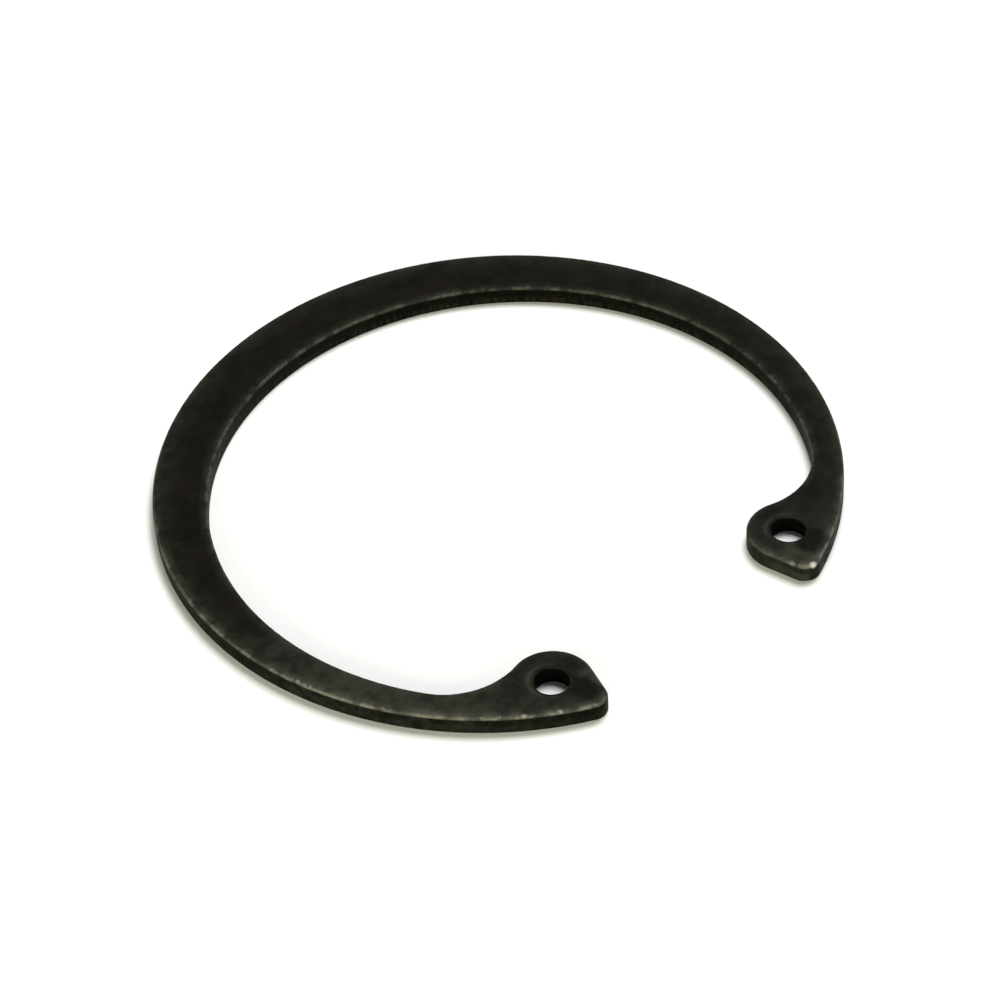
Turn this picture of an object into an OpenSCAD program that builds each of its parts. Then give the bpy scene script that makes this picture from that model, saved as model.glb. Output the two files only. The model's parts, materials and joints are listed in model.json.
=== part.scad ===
// Internal retaining ring with two lugs, lying flat with its rolled face up.
// The gap points along -Y, and the origin is the centre of the outer edge, on the lower face.

/* [Band] */
// Free outer diameter, before the ring is squeezed into its bore
outer_d = 50.5; // [46:0.5:56]
// Thickness of the strip that the ring is stamped from
thickness = 1.5; // [1.2:0.05:2]
// Width of the band opposite the gap, where it is widest
band_back = 4.65; // [4:0.05:5.5]
// Width that the tapered band would reach in the middle of the gap
band_front = 1.65; // [1.3:0.05:2.2]

/* [Lugs] */
// Angle from the middle of the gap to each plier hole
hole_angle = 30.3; // [26:0.1:36]
// Distance from the outer edge to the centre of each plier hole
hole_inset = 3.15; // [2.9:0.05:3.6]
// Diameter of the plier holes
hole_d = 2.5; // [2:0.1:3]
// Metal between each plier hole and the round end of its lug
lug_wall = 1.75; // [1.3:0.05:2.2]
// Radius of the hollow that runs each lug into the band
hollow_r = 5.6; // [4:0.1:7]
// Lean of each end face from the centre line of the gap
end_lean = 15.6; // [8:0.1:20]
// Radius of the outer corner of each end
tip_r = 1.2; // [0.8:0.1:1.6]

/* [Edges] */
// Radius of the rolled edge that stamping leaves round the upper face
roll_r = 0.3; // [0.15:0.05:0.4]
// Radius of the broken edge round the lower face
break_r = 0.12; // [0.05:0.01:0.2]

/* [Hidden] */
$fn = 96;

// How far cuts run past the faces that they open, and past each other
spare = 2;
lap = 0.5;
// How deep each arc runs into its neighbour, so that the two cross instead of only touching
blend = 0.005;

// The band lies between the outer edge and an inner edge whose centre is shifted to the gap
outer_r = outer_d / 2;
inner_r = (outer_d - band_back - band_front) / 2;
inner_centre = [0, (band_front - band_back) / 2];

// The outline of the end on the +X side, arc by arc
hole_centre = (outer_r - hole_inset) * [sin(hole_angle), -cos(hole_angle)];
lug_r = hole_d / 2 + lug_wall;
hollow_centre = meeting(hole_centre, lug_r + hollow_r - blend,
                        inner_centre, inner_r - hollow_r + blend);
end_along = [sin(end_lean), -cos(end_lean)];
end_outward = [-cos(end_lean), -sin(end_lean)];
end_foot = hole_centre + (lug_r - blend) * end_outward;
tip_centre = further_along(end_foot - (tip_r - blend) * end_outward, end_along,
                           outer_r - tip_r + blend);
gap_w = 2 * end_foot[0];

// Where circles about a and b with radii ra and rb cross, on the right hand from a to b
function meeting(a, ra, b, rb) =
    let (d = norm(b - a),
         ahead = (b - a) / d,
         x = (ra * ra - rb * rb + d * d) / (2 * d))
    a + x * ahead + sqrt(ra * ra - x * x) * [ahead[1], -ahead[0]];

// The point on the line from p along the unit vector v that lies at radius r from the origin
function further_along(p, v, r) = p + v * (-p * v + sqrt(pow(p * v, 2) - p * p + r * r));

function bearing(v) = atan2(v[1], v[0]);
function turn(from, to) = (to - from + 360) % 360;
function polar(r, a) = r * [cos(a), sin(a)];

// Section of what is trimmed from a wall at x = 0 with its metal on the +X side,
// together with the open room beside the wall
module trimmings(room) {
    translate([-room, -spare]) square([room, thickness + 2 * spare]);
    translate([0, thickness - roll_r]) corner(roll_r);
    translate([0, break_r]) mirror([0, 1]) corner(break_r);
}

// Sharp corner outside an arc of radius r that leaves the wall at the origin
module corner(r) {
    difference() {
        translate([-lap, 0]) square([lap + r, r + spare]);
        translate([r, 0]) circle(r);
    }
}

// Prism that clears a flat outline through both faces
module clear_through() {
    translate([0, 0, -spare]) linear_extrude(thickness + 2 * spare) children();
}

// Opening of radius r about p with its edges rolled and broken
module opening(p, r, from = 0, sweep = 360) {
    translate(p) rotate_extrude(angle = sweep, start = from) {
        translate([0, -spare]) square([r - lap / 2, thickness + 2 * spare]);
        translate([r, 0]) trimmings(lap);
    }
}

// What lies outside a round end of radius r about p, with its edges rolled and broken
module round_off(p, r, from, to) {
    translate(p) rotate_extrude(angle = turn(from, to), start = from)
        translate([r, 0]) mirror([1, 0]) trimmings(spare);
}

// Full disc with the outer edge of the ring
module blank() {
    rotate_extrude() difference() {
        square([outer_r, thickness]);
        translate([outer_r, 0]) mirror([1, 0]) trimmings(spare);
    }
}

// Inner edge of the band, from one hollow round the back to the other
module band_opening() {
    from = bearing(hollow_centre - inner_centre);
    opening(inner_centre, inner_r, from, turn(from, 180 - from));
}

// Space between the hollow, the lug and the middle of the gap
module lug_space() {
    from = bearing(hollow_centre - hole_centre);
    sweep = turn(from, bearing(end_outward));
    round_the_lug = [for (part = [0, 1/3, 2/3, 1])
        hole_centre + polar(lug_r + lap, from + part * sweep)];
    clear_through() polygon(concat(
        [[-lap, inner_centre[1] + lap], hollow_centre + [0, lap]],
        round_the_lug,
        [[lap, -outer_r], [-lap, -outer_r]]));
}

// Straight end face from the round of the lug to the outer corner, and the gap beside it
module end_face() {
    translate(end_foot - lap * end_along) rotate([90, 0, end_lean])
        linear_extrude(outer_r) trimmings(gap_w);
}

// Everything that shapes the end on the +X side
module end_cuts() {
    opening(hollow_centre, hollow_r);
    lug_space();
    round_off(hole_centre, lug_r, bearing(hollow_centre - hole_centre), bearing(end_outward));
    end_face();
    round_off(tip_centre, tip_r, bearing(end_outward), bearing(tip_centre));
    opening(hole_centre, hole_d / 2);
}

module retaining_ring() {
    color([0.17, 0.17, 0.145]) difference() {
        blank();
        band_opening();
        for (side = [0, 1]) mirror([side, 0, 0]) end_cuts();
    }
}

retaining_ring();
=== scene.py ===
"""Dresses the internal retaining ring: its rolled edges, plier holes and phosphated steel, with
wear, painted highlights and painted shade, on a pale floor under soft studio light."""

import json
import logging
import math
from dataclasses import dataclass, field
from enum import Enum

import bmesh
import bpy
from bpy.types import Node, NodeSocket
from mathutils import Matrix, Vector, noise


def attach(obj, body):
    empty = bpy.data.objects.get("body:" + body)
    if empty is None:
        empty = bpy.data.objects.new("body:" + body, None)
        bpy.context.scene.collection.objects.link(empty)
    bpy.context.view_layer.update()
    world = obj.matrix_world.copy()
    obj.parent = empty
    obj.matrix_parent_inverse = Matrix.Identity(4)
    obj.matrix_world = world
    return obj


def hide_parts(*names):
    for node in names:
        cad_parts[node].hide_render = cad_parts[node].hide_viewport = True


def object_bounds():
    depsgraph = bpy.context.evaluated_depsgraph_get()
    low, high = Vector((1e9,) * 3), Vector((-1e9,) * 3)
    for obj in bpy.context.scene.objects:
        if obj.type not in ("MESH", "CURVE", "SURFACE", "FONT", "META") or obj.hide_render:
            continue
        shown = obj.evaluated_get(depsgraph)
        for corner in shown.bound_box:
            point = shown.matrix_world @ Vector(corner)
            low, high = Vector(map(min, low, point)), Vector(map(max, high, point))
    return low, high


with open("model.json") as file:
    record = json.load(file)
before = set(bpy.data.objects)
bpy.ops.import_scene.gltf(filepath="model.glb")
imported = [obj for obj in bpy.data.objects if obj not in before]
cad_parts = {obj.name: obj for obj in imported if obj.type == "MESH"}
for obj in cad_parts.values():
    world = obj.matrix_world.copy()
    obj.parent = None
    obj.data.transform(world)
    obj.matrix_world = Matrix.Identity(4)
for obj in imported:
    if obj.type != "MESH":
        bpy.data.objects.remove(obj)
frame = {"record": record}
cad_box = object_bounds()

MM = 0.001
NODE = "retaining_ring"
UP = Vector((0, 0, 1))
Triple = tuple[float, float, float]
Colour = Triple
Span = tuple[float, float]
log = logging.getLogger("retaining_ring")


def polar(radius: float, degrees: float) -> Vector:
    """Returns the point at this radius and bearing from the centre of the ring, at floor level."""
    angle = math.radians(degrees)
    return Vector((radius * math.cos(angle), radius * math.sin(angle), 0))


def in_plan(right_mm: float, back_mm: float) -> Vector:
    """Returns the point this many millimetres right of the ring's centre and behind it."""
    return Vector((right_mm * MM, back_mm * MM, 0))


def mirrored(v: Vector) -> Vector:
    """Returns the same point or direction on the other side of the gap."""
    return Vector((-v.x, v.y, v.z))


def bearing(v: Vector) -> float:
    """Returns the angle of a vector in the plane of the ring, in radians."""
    return math.atan2(v.y, v.x)


def smooth_step(low: float, high: float, x: float) -> float:
    """Returns 0 below low, 1 above high and a smooth rise between them."""
    t = min(max((x - low) / (high - low), 0), 1)
    return t * t * (3 - 2 * t)


@dataclass(frozen=True)
class Arc:
    """One round stretch of an outline.

    A positive sweep is anticlockwise. The metal lies to the left of the way of travel.
    """

    centre: Vector
    radius: float
    sweep: float
    spacing: float

    @property
    def steps(self) -> int:
        """How many equal steps the stretch is drawn in."""
        return max(2, math.ceil(abs(self.sweep) * self.radius / self.spacing))

    def travel(self, steps: int) -> tuple[Vector, float, Vector]:
        """Returns the centre, the angle and the shift of a spin over this many steps."""
        return self.centre, self.sweep * steps / self.steps, Vector()


@dataclass(frozen=True)
class Straight:
    """One straight stretch of an outline, from where the pen stands."""

    run: Vector
    spacing: float

    @property
    def steps(self) -> int:
        """How many equal steps the stretch is drawn in."""
        return max(2, math.ceil(self.run.length / self.spacing))

    def travel(self, steps: int) -> tuple[Vector, float, Vector]:
        """Returns the centre, the angle and the shift of a spin over this many steps."""
        return Vector(), 0.0, self.run * steps / self.steps


@dataclass
class RingSizes:
    """The flat shape of the ring, in metres. What the frame states is taken from it."""

    band_back: float = 4.65 * MM
    band_front: float = 1.65 * MM
    lug_wall: float = 1.75 * MM
    hollow_r: float = 5.6 * MM
    end_lean: float = math.radians(15.6)
    tip_r: float = 1.2 * MM
    outer_r: float = field(init=False)
    hole_r: float = field(init=False)
    thickness: float = field(init=False)
    hole: Vector = field(init=False)

    def __post_init__(self) -> None:
        """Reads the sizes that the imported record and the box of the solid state."""
        mounts = {mount["name"]: mount for mount in frame["record"]["mounts"]}
        right_hole = mounts["plier_hole_right"]
        self.outer_r = mounts["groove_seat"]["dims"]["r_mm"] * MM
        self.hole_r = right_hole["dims"]["r_mm"] * MM
        self.hole = Vector((*right_hole["pos_m"][:2], 0))
        self.thickness = cad_box[1].z

    @property
    def holes(self) -> tuple[Vector, Vector]:
        """Centres of the right and of the left plier hole."""
        return self.hole, mirrored(self.hole)

    @property
    def inner_r(self) -> float:
        """Radius of the inner edge of the band."""
        return self.outer_r - (self.band_back + self.band_front) / 2

    @property
    def inner_centre(self) -> Vector:
        """Centre of the inner edge, shifted towards the gap, which tapers the band."""
        return Vector((0, (self.band_front - self.band_back) / 2, 0))

    @property
    def lug_r(self) -> float:
        """Radius of the round end of a lug."""
        return self.hole_r + self.lug_wall

    @property
    def hollow(self) -> Vector:
        """Centre of the hollow on the +X side, which touches the lug and the band.

        Returns:
            Where a circle round the inner centre meets one round the hole.
        """
        to_hole = self.hole - self.inner_centre
        from_centre = self.inner_r - self.hollow_r
        from_hole = self.lug_r + self.hollow_r
        apart = to_hole.length
        along = (from_centre ** 2 - from_hole ** 2 + apart ** 2) / (2 * apart)
        aside = math.sqrt(from_centre ** 2 - along ** 2)
        ahead = to_hole.normalized()
        return self.inner_centre + along * ahead + aside * Vector((-ahead.y, ahead.x, 0))

    @property
    def end_along(self) -> Vector:
        """Direction of the end face on the +X side, away from the middle of the ring."""
        return Vector((math.sin(self.end_lean), -math.cos(self.end_lean), 0))

    @property
    def end_outward(self) -> Vector:
        """Direction that the end face on the +X side looks in, into the gap."""
        return Vector((-math.cos(self.end_lean), -math.sin(self.end_lean), 0))

    @property
    def end_foot(self) -> Vector:
        """Where the end face on the +X side leaves the round of the lug."""
        return self.hole + self.lug_r * self.end_outward

    @property
    def tip(self) -> Vector:
        """Centre of the round outer corner of the end on the +X side.

        Returns:
            Where a line beside the end face meets a circle inside the outer edge.
        """
        start = self.end_foot - self.tip_r * self.end_outward
        reach = self.outer_r - self.tip_r
        forward = -start.dot(self.end_along)
        root = forward * forward - start.length_squared + reach * reach
        return start + self.end_along * (forward + math.sqrt(root))


@dataclass(frozen=True)
class EdgeSection:
    """Section of an edge: a slow fall of the face, a tight roll, the wall and a broken corner."""

    fall_w: float
    fall: float
    roll_r: float = 0.27 * MM
    break_r: float = 0.12 * MM
    flat_w: float = 0.05 * MM
    fall_steps: int = 6
    roll_steps: int = 9
    wall_steps: int = 8
    break_steps: int = 3

    def points(self, thickness: float) -> list[tuple[float, float]]:
        """Lists the section from the upper face to the lower one.

        Args:
            thickness: Height of the upper face.

        Returns:
            Pairs of distance inwards from the wall and height.
        """
        found = [(self.fall_w + self.flat_w, thickness)]
        for step in range(self.fall_steps):
            share = step / self.fall_steps
            inwards = self.fall_w + (self.roll_r - self.fall_w) * share
            found.append((inwards, thickness - self.fall * share * share))
        shoulder = thickness - self.fall
        for step in range(self.roll_steps + 1):
            turn = step / self.roll_steps * math.pi / 2
            inwards = self.roll_r * (1 - math.sin(turn))
            found.append((inwards, shoulder - self.roll_r * (1 - math.cos(turn))))
        top, bottom = shoulder - self.roll_r, self.break_r
        for step in range(1, self.wall_steps):
            found.append((0, top + (bottom - top) * step / self.wall_steps))
        for step in range(self.break_steps + 1):
            turn = step / self.break_steps * math.pi / 2
            inwards = self.break_r * (1 - math.cos(turn))
            found.append((inwards, bottom * (1 - math.sin(turn))))
        found.append((self.break_r + self.flat_w, 0))
        return found


class SurfaceMap(Enum):
    """Names of the values that the mesh carries for its finish."""

    # Rubbing along the rolled edges, together with the highlight painted along them.
    RUBBED_AND_HIGHLIGHT = "rubbed_and_highlight"
    BARE = "bare_metal"


@dataclass(frozen=True)
class EdgeWearAndHighlight:
    """How bright the rolled edges are from rubbing, with a highlight painted along them that is full
    on the camera's side, and how rough that leaves them.

    The shares multiply each other. A span is where a smooth step starts and ends.
    """

    from_wall: Span = (0.1, 0.45)
    onto_face: Span = (0.88, 0.999)
    # The camera's bearing: there the highlight painted along the outer edge is full, and it fades
    # towards the far side.
    highlight_bearing: float = -127.7
    from_far_side: Span = (0, 0.35)
    fall_share: float = 0.25
    far_share: float = 0.35
    inner_share: float = 0.42
    hole_share: float = 0.15
    ripple: float = 0.02 * MM
    ripple_length: float = 1.3 * MM
    pit: float = 0.03 * MM
    pit_length: float = 0.33 * MM
    pitted: Span = (0.15, 0.6)

    def crest(self, lean: float, fallen: float) -> float:
        """Works out the rubbing and the painted highlight that an edge gets by its form alone.

        Args:
            lean: Height of the surface's unit normal, 0 on a wall and 1 on the face.
            fallen: How much of the slow fall lies above the spot, from 0 to 1.

        Returns:
            Fully 1 on the crest of the roll, less on the slow fall, and 0 on walls and faces.
        """
        on_roll = 1 - smooth_step(*self.onto_face, lean)
        return smooth_step(*self.from_wall, lean) * max(on_roll, self.fall_share * fallen)

    def outer_share(self, point: Vector, outer_r: float) -> float:
        """Returns the share of rubbing and painted highlight on the outer edge at a point: full on
        the side of the highlight bearing.
        """
        towards = point.dot(polar(1, self.highlight_bearing)) / outer_r
        return self.far_share + (1 - self.far_share) * smooth_step(*self.from_far_side, towards)

    def depth(self, point: Vector) -> float:
        """Returns how deep the ripples and pits are at a point of a crest at full rubbing."""
        ripple = max(0, noise.noise(point / self.ripple_length)) * self.ripple
        return ripple + smooth_step(*self.pitted, noise.noise(point / self.pit_length)) * self.pit


@dataclass(frozen=True)
class KnockSize:
    """How wide, how deep and how bright a knock is."""

    radius: float
    depth: float
    bright: float = 0


@dataclass(frozen=True)
class Knock:
    """A spot where the metal is pushed in round a point, and scraped bright by it."""

    place: Vector
    size: KnockSize

    def felt(self, point: Vector) -> float:
        """Returns how much of the knock is felt at a point, from 0 to 1."""
        reach = (point - self.place).length / self.size.radius
        return max(0, 1 - reach * reach) ** 2

    def bared(self, felt: float) -> float:
        """Returns how bare the metal is where this much is felt. A half and more counts as all."""
        return min(1, 2 * felt) * self.size.bright


@dataclass
class StampedRing:
    """The ring as one dense mesh, traced by a pen that carries the section of its edge."""

    sizes: RingSizes
    edge: EdgeSection = EdgeSection(fall_w=0.9 * MM, fall=0.035 * MM)
    hole_edge: EdgeSection = EdgeSection(fall_w=0.65 * MM, fall=0.06 * MM, roll_r=0.17 * MM)
    edge_wear_and_highlight: EdgeWearAndHighlight = EdgeWearAndHighlight()
    band_spacing: float = 0.16 * MM
    lug_spacing: float = 0.1 * MM
    hole_spacing: float = 0.08 * MM
    chunk_steps: int = 60
    merge: float = 0.002 * MM

    def outline(self) -> list[Arc | Straight]:
        """Lists the stretches of the outline, anticlockwise from the outer edge at the right tip.

        Returns:
            The outer edge, the left end, the inner edge and the right end.
        """
        s = self.sizes
        to_tip, to_hollow, from_band = s.tip, s.hollow - s.hole, s.hollow - s.inner_centre
        tip_turn = (bearing(to_tip) - bearing(s.end_outward)) % math.tau
        lug_turn = (bearing(s.end_outward) - bearing(to_hollow)) % math.tau
        hollow_turn = (bearing(from_band) - bearing(-to_hollow)) % math.tau
        band_turn = math.pi - 2 * bearing(from_band)
        end = s.end_along * (s.tip - s.hole).dot(s.end_along)
        band, lug = self.band_spacing, self.lug_spacing
        left_end = [
            Arc(mirrored(s.tip), s.tip_r, tip_turn, lug),
            Straight(-mirrored(end), lug),
            Arc(mirrored(s.hole), s.lug_r, lug_turn, lug),
            Arc(mirrored(s.hollow), s.hollow_r, -hollow_turn, lug),
        ]
        right_end = [
            Arc(s.hollow, s.hollow_r, -hollow_turn, lug),
            Arc(s.hole, s.lug_r, lug_turn, lug),
            Straight(end, lug),
            Arc(s.tip, s.tip_r, tip_turn, lug),
        ]
        outer = Arc(Vector(), s.outer_r, math.pi - 2 * bearing(to_tip), band)
        inner = Arc(s.inner_centre, s.inner_r, -band_turn, band)
        return [outer, *left_end, inner, *right_end]

    def trace(self, bm: bmesh.types.BMesh, edge: EdgeSection, foot: Vector, outward: Vector,
              stretches: list[Arc | Straight]) -> None:
        """Draws the section of an edge along an outline, which leaves a wall behind it.

        Each chunk of it is drawn in a mesh of its own, because a spin slows as its mesh grows.

        Args:
            bm: The mesh to add the wall to.
            edge: The section to draw with.
            foot: Where the outline starts, at floor level.
            outward: Unit vector out of the metal there.
            stretches: The outline, from where it starts.
        """
        points = edge.points(self.sizes.thickness)
        carrier = bpy.data.meshes.new("wall")
        for stretch in stretches:
            for done in range(0, stretch.steps, self.chunk_steps):
                steps = min(self.chunk_steps, stretch.steps - done)
                centre, angle, shift = stretch.travel(steps)
                chunk = bmesh.new()
                pen = [chunk.verts.new(foot - outward * inwards + UP * z) for inwards, z in points]
                pen += [chunk.edges.new(pair) for pair in zip(pen, pen[1:])]
                bmesh.ops.spin(chunk, geom=pen, axis=UP, cent=centre, angle=angle, steps=steps,
                               dvec=shift / steps)
                chunk.to_mesh(carrier)
                chunk.free()
                bm.from_mesh(carrier)
                turn = Matrix.Rotation(angle, 3, "Z")
                foot = centre + turn @ (foot - centre) + shift
                outward = turn @ outward
        bpy.data.meshes.remove(carrier)

    def close_faces(self, bm: bmesh.types.BMesh) -> None:
        """Fills the flat parts of both faces between the walls.

        Args:
            bm: The mesh of the walls, with merged seams.
        """
        for z in (self.sizes.thickness, 0):
            rims = [e for e in bm.edges if e.is_boundary
                    and all(abs(v.co.z - z) < self.merge for v in e.verts)]
            bmesh.ops.triangle_fill(bm, use_beauty=True, edges=rims, normal=UP)

    def rubbed_and_highlight(self, v: bmesh.types.BMVert) -> float:
        """Works out the rubbing and the painted highlight at a vertex, by its place on the ring and
        its edge's form.

        Args:
            v: A vertex of the closed mesh, with a sound normal.

        Returns:
            From 0, not at all, to 1.
        """
        s, wear = self.sizes, self.edge_wear_and_highlight
        if v.co.z < s.thickness / 2:
            return 0
        crest = wear.crest(v.normal.z, min(1, (s.thickness - v.co.z) / self.edge.fall))
        on_right = Vector((abs(v.co.x), v.co.y, 0))
        if (on_right - s.hole).length < s.hole_r + self.hole_edge.fall_w:
            return crest * wear.hole_share
        if v.co.xy.length < s.tip.length:
            return crest * wear.inner_share
        return crest * wear.outer_share(v.co, s.outer_r)

    def wear(self, bm: bmesh.types.BMesh, knocks: list[Knock]) -> None:
        """Roughens the rolled edges, presses the knocks in and notes the rubbing and the painted
        highlight along the edges.

        Args:
            bm: The closed mesh.
            knocks: The spots to press in.
        """
        bm.normal_update()
        rubbed_and_highlight_map = bm.verts.layers.float.new(SurfaceMap.RUBBED_AND_HIGHLIGHT.value)
        bare_map = bm.verts.layers.float.new(SurfaceMap.BARE.value)
        moves = []
        for v in bm.verts:
            rubbed_and_highlight = self.rubbed_and_highlight(v)
            depth, bare = rubbed_and_highlight * self.edge_wear_and_highlight.depth(v.co), 0.0
            for knock in knocks:
                felt = knock.felt(v.co)
                depth += felt * knock.size.depth
                bare = max(bare, knock.bared(felt))
            v[rubbed_and_highlight_map] = rubbed_and_highlight
            v[bare_map] = bare
            moves.append(v.normal * -depth)
        for v, move in zip(bm.verts, moves):
            v.co += move

    def build(self, knocks: list[Knock]) -> bpy.types.Object:
        """Traces the outline and both holes, closes the faces and wears the edges.

        Args:
            knocks: The spots to press in.

        Returns:
            The finished piece, with smooth shading.
        """
        s = self.sizes
        bm = bmesh.new()
        start = s.tip.normalized()
        self.trace(bm, self.edge, start * s.outer_r, start, self.outline())
        for centre in s.holes:
            back = Vector((0, 1, 0))
            whole_turn = Arc(centre, s.hole_r, -math.tau, self.hole_spacing)
            self.trace(bm, self.hole_edge, centre - back * s.hole_r, back, [whole_turn])
        bmesh.ops.remove_doubles(bm, verts=bm.verts[:], dist=self.merge)
        self.close_faces(bm)
        bmesh.ops.recalc_face_normals(bm, faces=bm.faces[:])
        self.wear(bm, knocks)
        mesh = bpy.data.meshes.new("stamped_ring")
        bm.to_mesh(mesh)
        bm.free()
        mesh.shade_smooth()
        piece = bpy.data.objects.new("stamped_ring", mesh)
        bpy.context.scene.collection.objects.link(piece)
        return piece


@dataclass(frozen=True)
class Mottle:
    """A cloudy pattern: how large its features are, and how finely they break up."""

    size: float
    detail: float = 2
    roughness: float = 0.5


@dataclass(frozen=True)
class Fade:
    """A smooth change from one value to another, as a reading goes from low to high."""

    low: float
    high: float
    at_low: float = 0
    at_high: float = 1


@dataclass(frozen=True)
class Patch:
    """A round patch of the finish in plan, full within one radius and gone beyond another."""

    place: Vector
    full: float
    gone: float
    amount: float
    ragged: bool = True

    @property
    def cover(self) -> Fade:
        """How strongly the patch covers, by the distance from its middle."""
        return Fade(self.full, self.gone, at_low=self.amount, at_high=0)


class Nodes:
    """A thin hand for drawing a node tree."""

    COLOUR_A = 6
    COLOUR_B = 7
    COLOUR_OUT = 2
    MIDDLE_GREY = (0.5, 0.5, 0.5)

    def __init__(self, tree: bpy.types.NodeTree) -> None:
        """Clears the tree of a material or of the world, ready to draw in."""
        self.tree = tree
        tree.nodes.clear()

    def add(self, kind: str, inputs: dict[str | int, object] | None = None,
            **settings: object) -> Node:
        """Adds a node and fills its sockets.

        Args:
            kind: The node's type name.
            inputs: Socket names or numbers, each with a value or with a socket to link from.
            **settings: Properties of the node, such as an operation or a blend type.

        Returns:
            The new node.
        """
        node = self.tree.nodes.new(kind)
        for name, value in settings.items():
            setattr(node, name, value)
        for name, value in (inputs or {}).items():
            if isinstance(value, NodeSocket):
                self.tree.links.new(value, node.inputs[name])
            else:
                node.inputs[name].default_value = value
        return node

    def vector(self, operation: str, a: NodeSocket, b: Vector | Triple | NodeSocket) -> Node:
        """Returns a node that works on two vectors."""
        return self.add("ShaderNodeVectorMath", {0: a, 1: b}, operation=operation)

    def number(self, operation: str, a: NodeSocket, b: NodeSocket) -> NodeSocket:
        """Returns what an operation makes of two values."""
        return self.add("ShaderNodeMath", {0: a, 1: b}, operation=operation).outputs[0]

    def cloudy(self, place: NodeSocket, mottle: Mottle) -> Node:
        """Returns a node that draws a cloudy pattern."""
        return self.add("ShaderNodeTexNoise", {
            "Vector": place, "Scale": 1 / mottle.size, "Detail": mottle.detail,
            "Roughness": mottle.roughness})

    def shade(self, place: NodeSocket, mottle: Mottle) -> NodeSocket:
        """Returns the grey value of a cloudy pattern."""
        return self.cloudy(place, mottle).outputs["Fac"]

    def fade(self, reading: NodeSocket, fade: Fade) -> NodeSocket:
        """Returns the value that a fade gives for a reading, held beyond both of its ends."""
        return self.add("ShaderNodeMapRange", {
            "Value": reading, "From Min": fade.low, "From Max": fade.high, "To Min": fade.at_low,
            "To Max": fade.at_high}, interpolation_type="SMOOTHSTEP").outputs["Result"]

    def mix(self, factor: NodeSocket, a: Colour | NodeSocket, b: Colour) -> NodeSocket:
        """Turns colour a into colour b.

        Args:
            factor: How far, from 0 to 1.
            a: The colour to start from, or the socket that gives it.
            b: The colour to turn it into.

        Returns:
            The mixed colour.
        """
        node = self.add("ShaderNodeMix", {"Factor": factor}, data_type="RGBA")
        node.inputs[self.COLOUR_B].default_value = (*b, 1)
        if isinstance(a, NodeSocket):
            self.tree.links.new(a, node.inputs[self.COLOUR_A])
        else:
            node.inputs[self.COLOUR_A].default_value = (*a, 1)
        return node.outputs[self.COLOUR_OUT]

    def distance(self, place: NodeSocket, point: Vector) -> NodeSocket:
        """Returns how far a place is from a point."""
        return self.vector("DISTANCE", place, point).outputs["Value"]

    def plan(self, place: NodeSocket) -> NodeSocket:
        """Returns a place with its height taken out."""
        return self.vector("MULTIPLY", place, (1, 1, 0)).outputs[0]

    def carried(self, surface_map: SurfaceMap) -> NodeSocket:
        """Returns a value that the mesh carries."""
        return self.add("ShaderNodeAttribute", attribute_name=surface_map.value).outputs["Fac"]

    def seen(self) -> NodeSocket:
        """Tells rays that see the scene from rays that carry light.

        Returns:
            1 for a ray from the camera, off a mirror or through glass, and else 0.
        """
        rays = self.add("ShaderNodeLightPath").outputs
        seen_or_mirrored = self.number("MAXIMUM", rays["Is Camera Ray"], rays["Is Glossy Ray"])
        return self.number("MAXIMUM", seen_or_mirrored, rays["Is Transmission Ray"])


@dataclass(frozen=True)
class Reading:
    """The places and patterns that the layers of the finish share."""

    place: NodeSocket
    plan: NodeSocket
    ragged: NodeSocket
    clouds: NodeSocket
    specks: NodeSocket
    grain: NodeSocket


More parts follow.
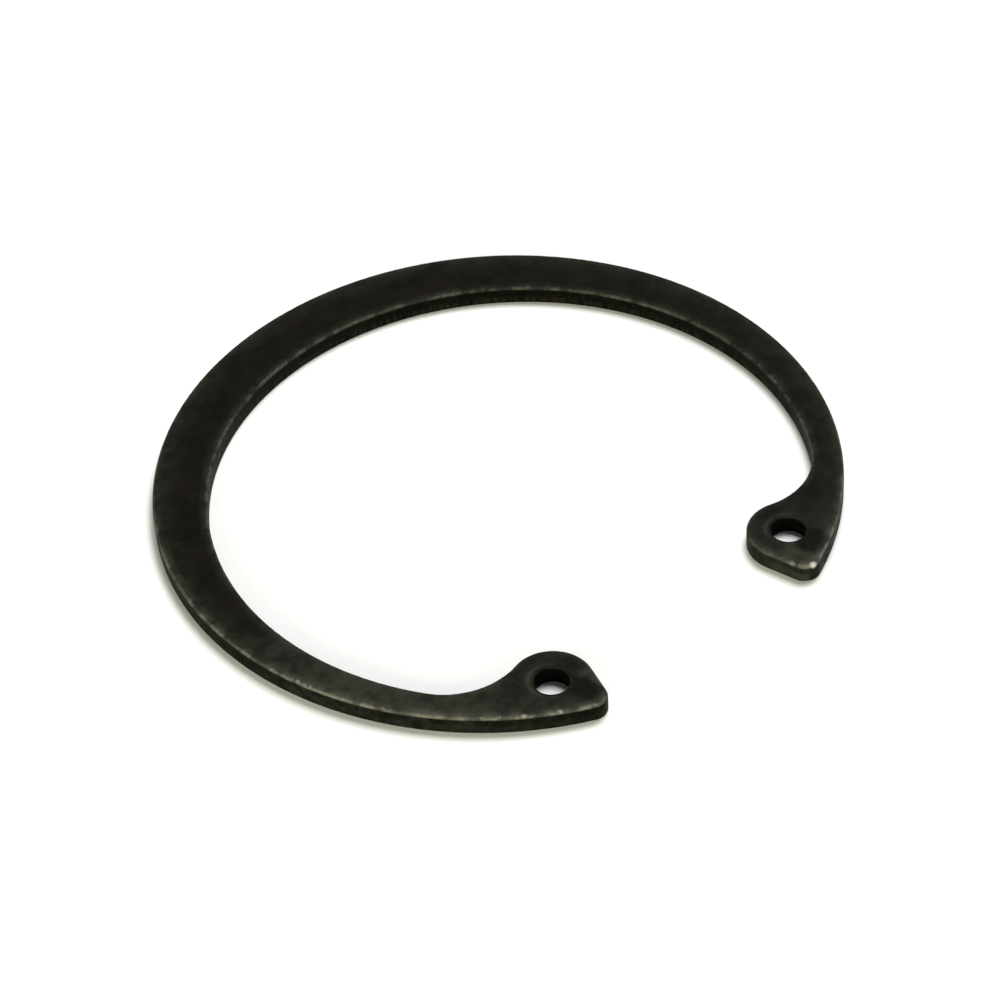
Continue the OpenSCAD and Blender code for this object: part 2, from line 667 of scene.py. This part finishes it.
@dataclass(frozen=True)
class PhosphatedSteel:
    """Black phosphate on spring steel: oily, mottled, and paler in places from wear, with painted
    highlights and painted shade.

    Heights are above the lower face, and radii from the axis of the ring.
    """

    # Spots of painted shade, in the plier holes and in the dents beside them.
    shade_spots: tuple[Patch, ...]
    # Pale places, from wear and as painted light.
    worn_and_lit_places: tuple[Patch, ...]
    oil_black: Colour = (0.001, 0.001, 0.0003)
    olive_grey: Colour = (0.0034, 0.0036, 0.0016)
    # Pale grey of wear; it also paints the light at the holes' rims and on the band's left front.
    worn_and_lit_grey: Colour = (0.0285, 0.028, 0.021)
    rust_brown: Colour = (0.0052, 0.0038, 0.0025)
    # Pale grey of the crest, from rubbing and as its painted highlight.
    rubbed_and_highlight_grey: Colour = (0.118, 0.116, 0.092)
    bare_steel: Colour = (0.5, 0.49, 0.42)
    stains: Mottle = Mottle(2.38 * MM, detail=4)
    clouds: Mottle = Mottle(1.7 * MM, detail=5, roughness=0.65)
    runs: Mottle = Mottle(1.1 * MM, detail=1)
    rags: Mottle = Mottle(1.1 * MM, detail=3)
    blotches: Mottle = Mottle(0.8 * MM, detail=3)
    specks: Mottle = Mottle(0.3 * MM, detail=3)
    streaks: Mottle = Mottle(0.2 * MM, detail=1)
    grain: Mottle = Mottle(0.09 * MM)
    rag_reach: float = 1.6 * MM
    stains_apart: Triple = (0.05, 0.02, 0.03)
    streak_stretch: Triple = (1, 1, 0.1)
    olive: Fade = Fade(0.4, 0.62)
    stained: Fade = Fade(0.49, 0.64, at_high=0.75)
    worn_rim: Fade = Fade(23.0 * MM, 25.1 * MM, at_high=0.3)
    worn_through: Fade = Fade(0.36, 0.6, at_low=0.35)
    torn_foot: Fade = Fade(0.4 * MM, 0.75 * MM, at_low=0.35, at_high=0)
    torn_streaks: Fade = Fade(0.38, 0.62)
    below_crest: Fade = Fade(1.15 * MM, 1.4 * MM, at_low=1, at_high=0)
    blotched: Fade = Fade(0.38, 0.64, at_low=0.45)
    smooth_wall: Fade = Fade(0.55 * MM, 0.95 * MM, at_high=0.62)
    # Painted shade on the outer wall, darkening it where the low side lamps light it.
    outer_wall_shade: Fade = Fade(24.7 * MM, 25.05 * MM, at_high=0.7)
    specked: Fade = Fade(0.5, 0.8, at_high=0.22)
    rub_by_speck: Fade = Fade(0.35, 0.68, at_low=0.6)
    rub_by_run: Fade = Fade(0.36, 0.6, at_low=0.4, at_high=1.15)
    bare_by_grain: Fade = Fade(0.3, 0.6, at_low=0.4)
    dullness: Fade = Fade(0.3, 0.7, at_low=0.42, at_high=0.58)
    specular_level: float = 0.022
    relief: float = 0.012 * MM
    relief_strength: float = 0.6

    def material(self) -> bpy.types.Material:
        """Draws the finish, layer by layer.

        Returns:
            A material that follows the metal.
        """
        material = bpy.data.materials.new("phosphated_spring_steel")
        material.use_nodes = True
        n = Nodes(material.node_tree)
        at = self.read(n)
        colour = self.walls(n, at, self.faces(n, at))
        colour = n.mix(n.fade(at.specks, self.specked), colour, self.worn_and_lit_grey)
        # Painted shade: the plier holes and the dents beside them are blackened.
        for shade_spot in self.shade_spots:
            colour = n.mix(self.patch(n, at, shade_spot), colour, self.oil_black)
        # The crest's pale grey and metal shine: rubbing, and the highlight painted along the edges.
        runs = n.fade(n.shade(at.place, self.runs), self.rub_by_run)
        spread = n.number("MULTIPLY", n.fade(at.specks, self.rub_by_speck), runs)
        rubbed_and_highlight = n.number("MULTIPLY", n.carried(SurfaceMap.RUBBED_AND_HIGHLIGHT), spread)
        bare = n.number("MULTIPLY", n.carried(SurfaceMap.BARE), n.fade(at.grain, self.bare_by_grain))
        colour = n.mix(rubbed_and_highlight, colour, self.rubbed_and_highlight_grey)
        colour = n.mix(bare, colour, self.bare_steel)
        relief = n.add("ShaderNodeBump", {
            "Height": at.grain, "Strength": self.relief_strength, "Distance": self.relief})
        surface = n.add("ShaderNodeBsdfPrincipled", {
            "Base Color": colour, "Metallic": n.number("MAXIMUM", rubbed_and_highlight, bare),
            "Roughness": n.fade(at.specks, self.dullness), "Normal": relief.outputs["Normal"],
            "Specular IOR Level": self.specular_level})
        n.add("ShaderNodeOutputMaterial", {"Surface": surface.outputs["BSDF"]})
        return material

    def read(self, n: Nodes) -> Reading:
        """Draws what the layers share.

        Args:
            n: The tree to draw in.

        Returns:
            Places, with a ragged plan moved to and fro a little, and patterns.
        """
        place = n.add("ShaderNodeTexCoord").outputs["Object"]
        wave = n.vector("SUBTRACT", n.cloudy(place, self.rags).outputs["Color"], Nodes.MIDDLE_GREY)
        aside = n.vector("MULTIPLY", wave.outputs[0], Vector.Fill(3, self.rag_reach))
        moved = n.vector("ADD", place, aside.outputs[0])
        return Reading(
            place=place,
            plan=n.plan(place),
            ragged=n.plan(moved.outputs[0]),
            clouds=n.shade(place, self.clouds),
            specks=n.shade(place, self.specks),
            grain=n.shade(place, self.grain),
        )

    def patch(self, n: Nodes, at: Reading, patch: Patch) -> NodeSocket:
        """Returns how strongly a patch of the finish covers each place."""
        plan = at.ragged if patch.ragged else at.plan
        return n.fade(n.distance(plan, patch.place), patch.cover)

    def faces(self, n: Nodes, at: Reading) -> NodeSocket:
        """Mixes the black, olive and brown parts that the faces show, and the pale parts from wear
        and from painted light.

        Args:
            n: The tree to draw in.
            at: What the layers share.

        Returns:
            The colour of the metal before its walls are dressed.
        """
        elsewhere = n.vector("ADD", at.place, self.stains_apart).outputs[0]
        # Pale parts: wear at the rim and the lugs, and painted light at the holes' rims and on the
        # band's left front.
        worn_and_lit = n.fade(n.distance(at.plan, Vector()), self.worn_rim)
        for patch in self.worn_and_lit_places:
            both = {0: worn_and_lit, 1: self.patch(n, at, patch)}
            worn_and_lit = n.add("ShaderNodeMath", both, operation="ADD", use_clamp=True).outputs[0]
        worn_and_lit = n.number("MULTIPLY", worn_and_lit, n.fade(at.clouds, self.worn_through))
        colour = n.mix(n.fade(at.clouds, self.olive), self.oil_black, self.olive_grey)
        stained = n.fade(n.shade(elsewhere, self.stains), self.stained)
        colour = n.mix(stained, colour, self.rust_brown)
        return n.mix(worn_and_lit, colour, self.worn_and_lit_grey)

    def walls(self, n: Nodes, at: Reading, colour: NodeSocket) -> NodeSocket:
        """Pales the torn foot of the walls in streaks, blackens what lies above it in blotches, and
        darkens the outer wall in blotches as painted shade.

        Args:
            n: The tree to draw in.
            at: What the layers share.
            colour: The colour so far.

        Returns:
            The colour with the walls dressed.
        """
        height = n.add("ShaderNodeSeparateXYZ", {0: at.place}).outputs["Z"]
        upright = n.vector("MULTIPLY", at.place, self.streak_stretch).outputs[0]
        torn = n.number("MULTIPLY", n.fade(height, self.torn_foot),
                        n.fade(n.shade(upright, self.streaks), self.torn_streaks))
        colour = n.mix(torn, colour, self.worn_and_lit_grey)
        blotched = n.number("MULTIPLY", n.fade(height, self.below_crest),
                            n.fade(n.shade(at.place, self.blotches), self.blotched))
        smooth = n.fade(height, self.smooth_wall)
        # Painted shade: the outer wall is darkened in blotches.
        outer_shade = n.fade(n.distance(at.plan, Vector()), self.outer_wall_shade)
        for dark in (smooth, outer_shade):
            colour = n.mix(n.number("MULTIPLY", dark, blotched), colour, self.oil_black)
        return colour


@dataclass(frozen=True)
class WearMarks:
    """The marks of use that the photograph shows, each in its place on the ring."""

    sizes: RingSizes
    small_bead: KnockSize = KnockSize(radius=0.17 * MM, depth=0.02 * MM, bright=0.25)
    large_bead: KnockSize = KnockSize(radius=0.22 * MM, depth=0.03 * MM, bright=0.4)
    small_bearings: tuple[float, ...] = (
        -164.2, -162.0, -160.8, -148.2, -132.6, -129.6, -114.6, -113.4)
    large_bearings: tuple[float, ...] = (-163.2, -125.8, -120.2)
    bead_inset: float = 0.1 * MM
    nick: KnockSize = KnockSize(radius=0.42 * MM, depth=0.06 * MM, bright=1)
    nick_bearing: float = -66.8
    nick_inset: float = 0.15 * MM
    notch: KnockSize = KnockSize(radius=0.35 * MM, depth=0.1 * MM, bright=0.3)
    notch_along: float = 2.05 * MM
    dent: KnockSize = KnockSize(radius=1.5 * MM, depth=0.05 * MM)
    dent_places: tuple[Vector, ...] = (in_plan(11.3, -21.9), in_plan(-10.0, -21.1))
    # Shift of the painted highlight at each hole's rim, towards the part that faces the key lamp.
    lit_side: Vector = in_plan(-0.2, 0.1)

    def knocks(self) -> list[Knock]:
        """Lists the spots where the metal is pushed in.

        Returns:
            The beads and the nick along the outer edge, the notch in the right end, and the dents
            beside the holes, all at the height of the upper face.
        """
        s = self.sizes
        bead_r = s.outer_r - self.bead_inset
        found = [(polar(bead_r, degrees), self.small_bead) for degrees in self.small_bearings]
        found += [(polar(bead_r, degrees), self.large_bead) for degrees in self.large_bearings]
        found.append((polar(s.outer_r - self.nick_inset, self.nick_bearing), self.nick))
        found.append((s.end_foot + s.end_along * self.notch_along, self.notch))
        found += [(place, self.dent) for place in self.dent_places]
        return [Knock(place + UP * s.thickness, size) for place, size in found]

    def round_holes(self, shift: Vector, full: float, gone: float, amount: float) -> list[Patch]:
        """Makes an even patch round each plier hole.

        Args:
            shift: How far the patch lies off the middle of the hole.
            full: How far beyond the hole's wall it is still full.
            gone: How far beyond the hole's wall it is gone.
            amount: How strong it is.

        Returns:
            One patch for each hole.
        """
        r = self.sizes.hole_r
        return [Patch(hole + shift, r + full, r + gone, amount, ragged=False)
                for hole in self.sizes.holes]

    def shade_spots(self) -> tuple[Patch, ...]:
        """Lists the spots of painted shade.

        Returns:
            The inside of both plier holes, and a spot beside each in its dent, all painted shade.
        """
        inside = self.round_holes(Vector(), full=0.1 * MM, gone=0.35 * MM, amount=0.95)
        by_right_hole = Patch(in_plan(11.6, -21.2), full=0.9 * MM, gone=1.6 * MM, amount=0.95)
        by_left_hole = Patch(in_plan(-10.1, -21.1), full=0.6 * MM, gone=1.35 * MM, amount=0.85)
        return (*inside, by_right_hole, by_left_hole)

    def worn_and_lit_places(self) -> tuple[Patch, ...]:
        """Lists the parts of the band and of the lugs that are paled, from wear and as painted
        light.

        Returns:
            The left front of the band and a crescent at each hole, painted light; a wider patch at
            each hole, three places of the right lug and one of the left, from wear.
        """
        # Painted sheen on the left front of the band, on the camera's side.
        lit_left_front = Patch(in_plan(-20, -11.5), full=3 * MM, gone=14 * MM, amount=0.8)
        # Painted highlight: a pale crescent on each hole's rim, on the part that faces the key lamp.
        lit_crescents = self.round_holes(self.lit_side, full=0.25 * MM, gone=0.45 * MM, amount=0.5)
        lugs = [Patch(hole, full=1.5 * MM, gone=4.5 * MM, amount=0.2) for hole in self.sizes.holes]
        right_end = Patch(in_plan(8.4, -21.4), full=1 * MM, gone=3.4 * MM, amount=0.8)
        right_edge = Patch(in_plan(11.2, -22.5), full=0.5 * MM, gone=1.4 * MM, amount=0.7)
        right_tip = Patch(in_plan(9.5, -23.4), full=0.6 * MM, gone=1.5 * MM, amount=0.9)
        left_end = Patch(in_plan(-8.7, -20.6), full=0.3 * MM, gone=1.3 * MM, amount=0.7)
        return (lit_left_front, *lit_crescents, *lugs, right_end, right_edge, right_tip, left_end)


@dataclass(frozen=True)
class PaleFloor:
    """A plain white floor that keeps the ring's shadow, and fades to plain white far from it."""

    half_width: float = 4.0
    white: Colour = (0.92, 0.92, 0.92)
    far: Fade = Fade(0.06, 0.5)

    def build(self) -> bpy.types.Object:
        """Lays the floor, which isn't part of the ring.

        Returns:
            The floor.
        """
        bm = bmesh.new()
        bmesh.ops.create_grid(bm, size=self.half_width, x_segments=1, y_segments=1)
        mesh = bpy.data.meshes.new("floor")
        bm.to_mesh(mesh)
        bm.free()
        floor = bpy.data.objects.new("floor", mesh)
        bpy.context.scene.collection.objects.link(floor)
        mesh.materials.append(self.material())
        return floor

    def material(self) -> bpy.types.Material:
        """Draws white paint with a glow far away that only pictures of the floor see.

        Returns:
            The material of the floor.
        """
        material = bpy.data.materials.new("pale_floor")
        material.use_nodes = True
        n = Nodes(material.node_tree)
        place = n.add("ShaderNodeTexCoord").outputs["Object"]
        far = n.fade(n.distance(place, Vector()), self.far)
        paint = n.add("ShaderNodeBsdfDiffuse", {"Color": (*self.white, 1)})
        glow = n.add("ShaderNodeEmission", {
            "Color": (1, 1, 1, 1), "Strength": n.number("MULTIPLY", far, n.seen())})
        both = n.add("ShaderNodeAddShader", {0: paint.outputs[0], 1: glow.outputs[0]})
        n.add("ShaderNodeOutputMaterial", {"Surface": both.outputs[0]})
        return material


@dataclass(frozen=True)
class Softbox:
    """One rectangular studio lamp, aimed at the middle of the ring."""

    name: str
    place: Vector
    width: float
    height: float
    radiance: float
    tint: Colour = (1, 1, 1)

    def build(self) -> bpy.types.Object:
        """Hangs the lamp. Its power follows from the radiance of its face and its size.

        Returns:
            The lamp.
        """
        lamp = bpy.data.lights.new(self.name, "AREA")
        lamp.shape = "RECTANGLE"
        lamp.color = self.tint
        lamp.size, lamp.size_y = self.width, self.height
        lamp.energy = self.radiance * math.pi * self.width * self.height
        stand = bpy.data.objects.new(self.name, lamp)
        stand.location = self.place
        stand.rotation_euler = (-self.place).to_track_quat("-Z", "Y").to_euler()
        bpy.context.scene.collection.objects.link(stand)
        return stand


@dataclass(frozen=True)
class Studio:
    """The world, the lamps and the camera, which stands where the photograph was taken from."""

    ambient: float = 0.08
    olive: Colour = (1, 1.01, 0.78)
    key_place: Vector = Vector((0.164, 0.066, 0.380))
    left_place: Vector = Vector((-0.45, -0.12, 0.14))
    front_place: Vector = Vector((-0.1, -0.46, 0.14))
    azimuth: float = math.radians(-37.58)
    elevation: float = math.radians(42.4)
    roll: float = math.radians(-3.74)
    distance: float = 256.8 * MM
    aim_right: float = 0.15 * MM
    aim_down: float = 1.15 * MM
    lens_mm: float = 126
    sensor_mm: float = 36
    nearest: float = 0.01
    furthest: float = 20

    def light(self) -> None:
        """Sets the world, which is white only where it is seen, and hangs the lamps."""
        world = bpy.data.worlds.new("studio")
        bpy.context.scene.world = world
        world.use_nodes = True
        n = Nodes(world.node_tree)
        level = n.fade(n.seen(), Fade(0, 1, at_low=self.ambient))
        sky = n.add("ShaderNodeBackground", {"Color": (1, 1, 1, 1), "Strength": level})
        n.add("ShaderNodeOutputWorld", {"Surface": sky.outputs[0]})
        Softbox("key", self.key_place, width=0.21, height=0.21, radiance=13.8).build()
        Softbox("left_card", self.left_place, width=0.5, height=0.24, radiance=4.2,
                tint=self.olive).build()
        Softbox("front_card", self.front_place, width=0.5, height=0.24, radiance=3.2,
                tint=self.olive).build()

    def camera(self) -> bpy.types.Object:
        """Places the camera.

        Returns:
            The camera, which is the scene's own.
        """
        back = Vector((math.sin(self.azimuth) * math.cos(self.elevation),
                       -math.cos(self.azimuth) * math.cos(self.elevation),
                       math.sin(self.elevation)))
        level_right = Vector((math.cos(self.azimuth), math.sin(self.azimuth), 0))
        level_down = level_right.cross(back)
        right = level_right * math.cos(self.roll) - level_down * math.sin(self.roll)
        down = level_right * math.sin(self.roll) + level_down * math.cos(self.roll)
        aim = right * self.aim_right + down * self.aim_down
        data = bpy.data.cameras.new("camera")
        data.lens, data.sensor_width = self.lens_mm, self.sensor_mm
        data.clip_start, data.clip_end = self.nearest, self.furthest
        camera = bpy.data.objects.new("camera", data)
        turn = Matrix((right, -down, back)).transposed().to_4x4()
        camera.matrix_world = Matrix.Translation(aim + back * self.distance) @ turn
        bpy.context.scene.collection.objects.link(camera)
        bpy.context.scene.camera = camera
        return camera


def main() -> None:
    """Builds the studio, then the ring, and dresses it."""
    logging.basicConfig(level=logging.INFO, format="%(name)s: %(message)s")
    bpy.context.scene.view_settings.view_transform = "Standard"
    studio = Studio()
    studio.light()
    studio.camera()
    PaleFloor().build()
    sizes = RingSizes()
    marks = WearMarks(sizes)
    piece = StampedRing(sizes).build(marks.knocks())
    piece.data.materials.append(PhosphatedSteel(marks.shade_spots(), marks.worn_and_lit_places()).material())
    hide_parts(NODE)
    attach(piece, "root")
    log.info("%s: %d faces", piece.name, len(piece.data.polygons))


if __name__ == "__main__":
    main()
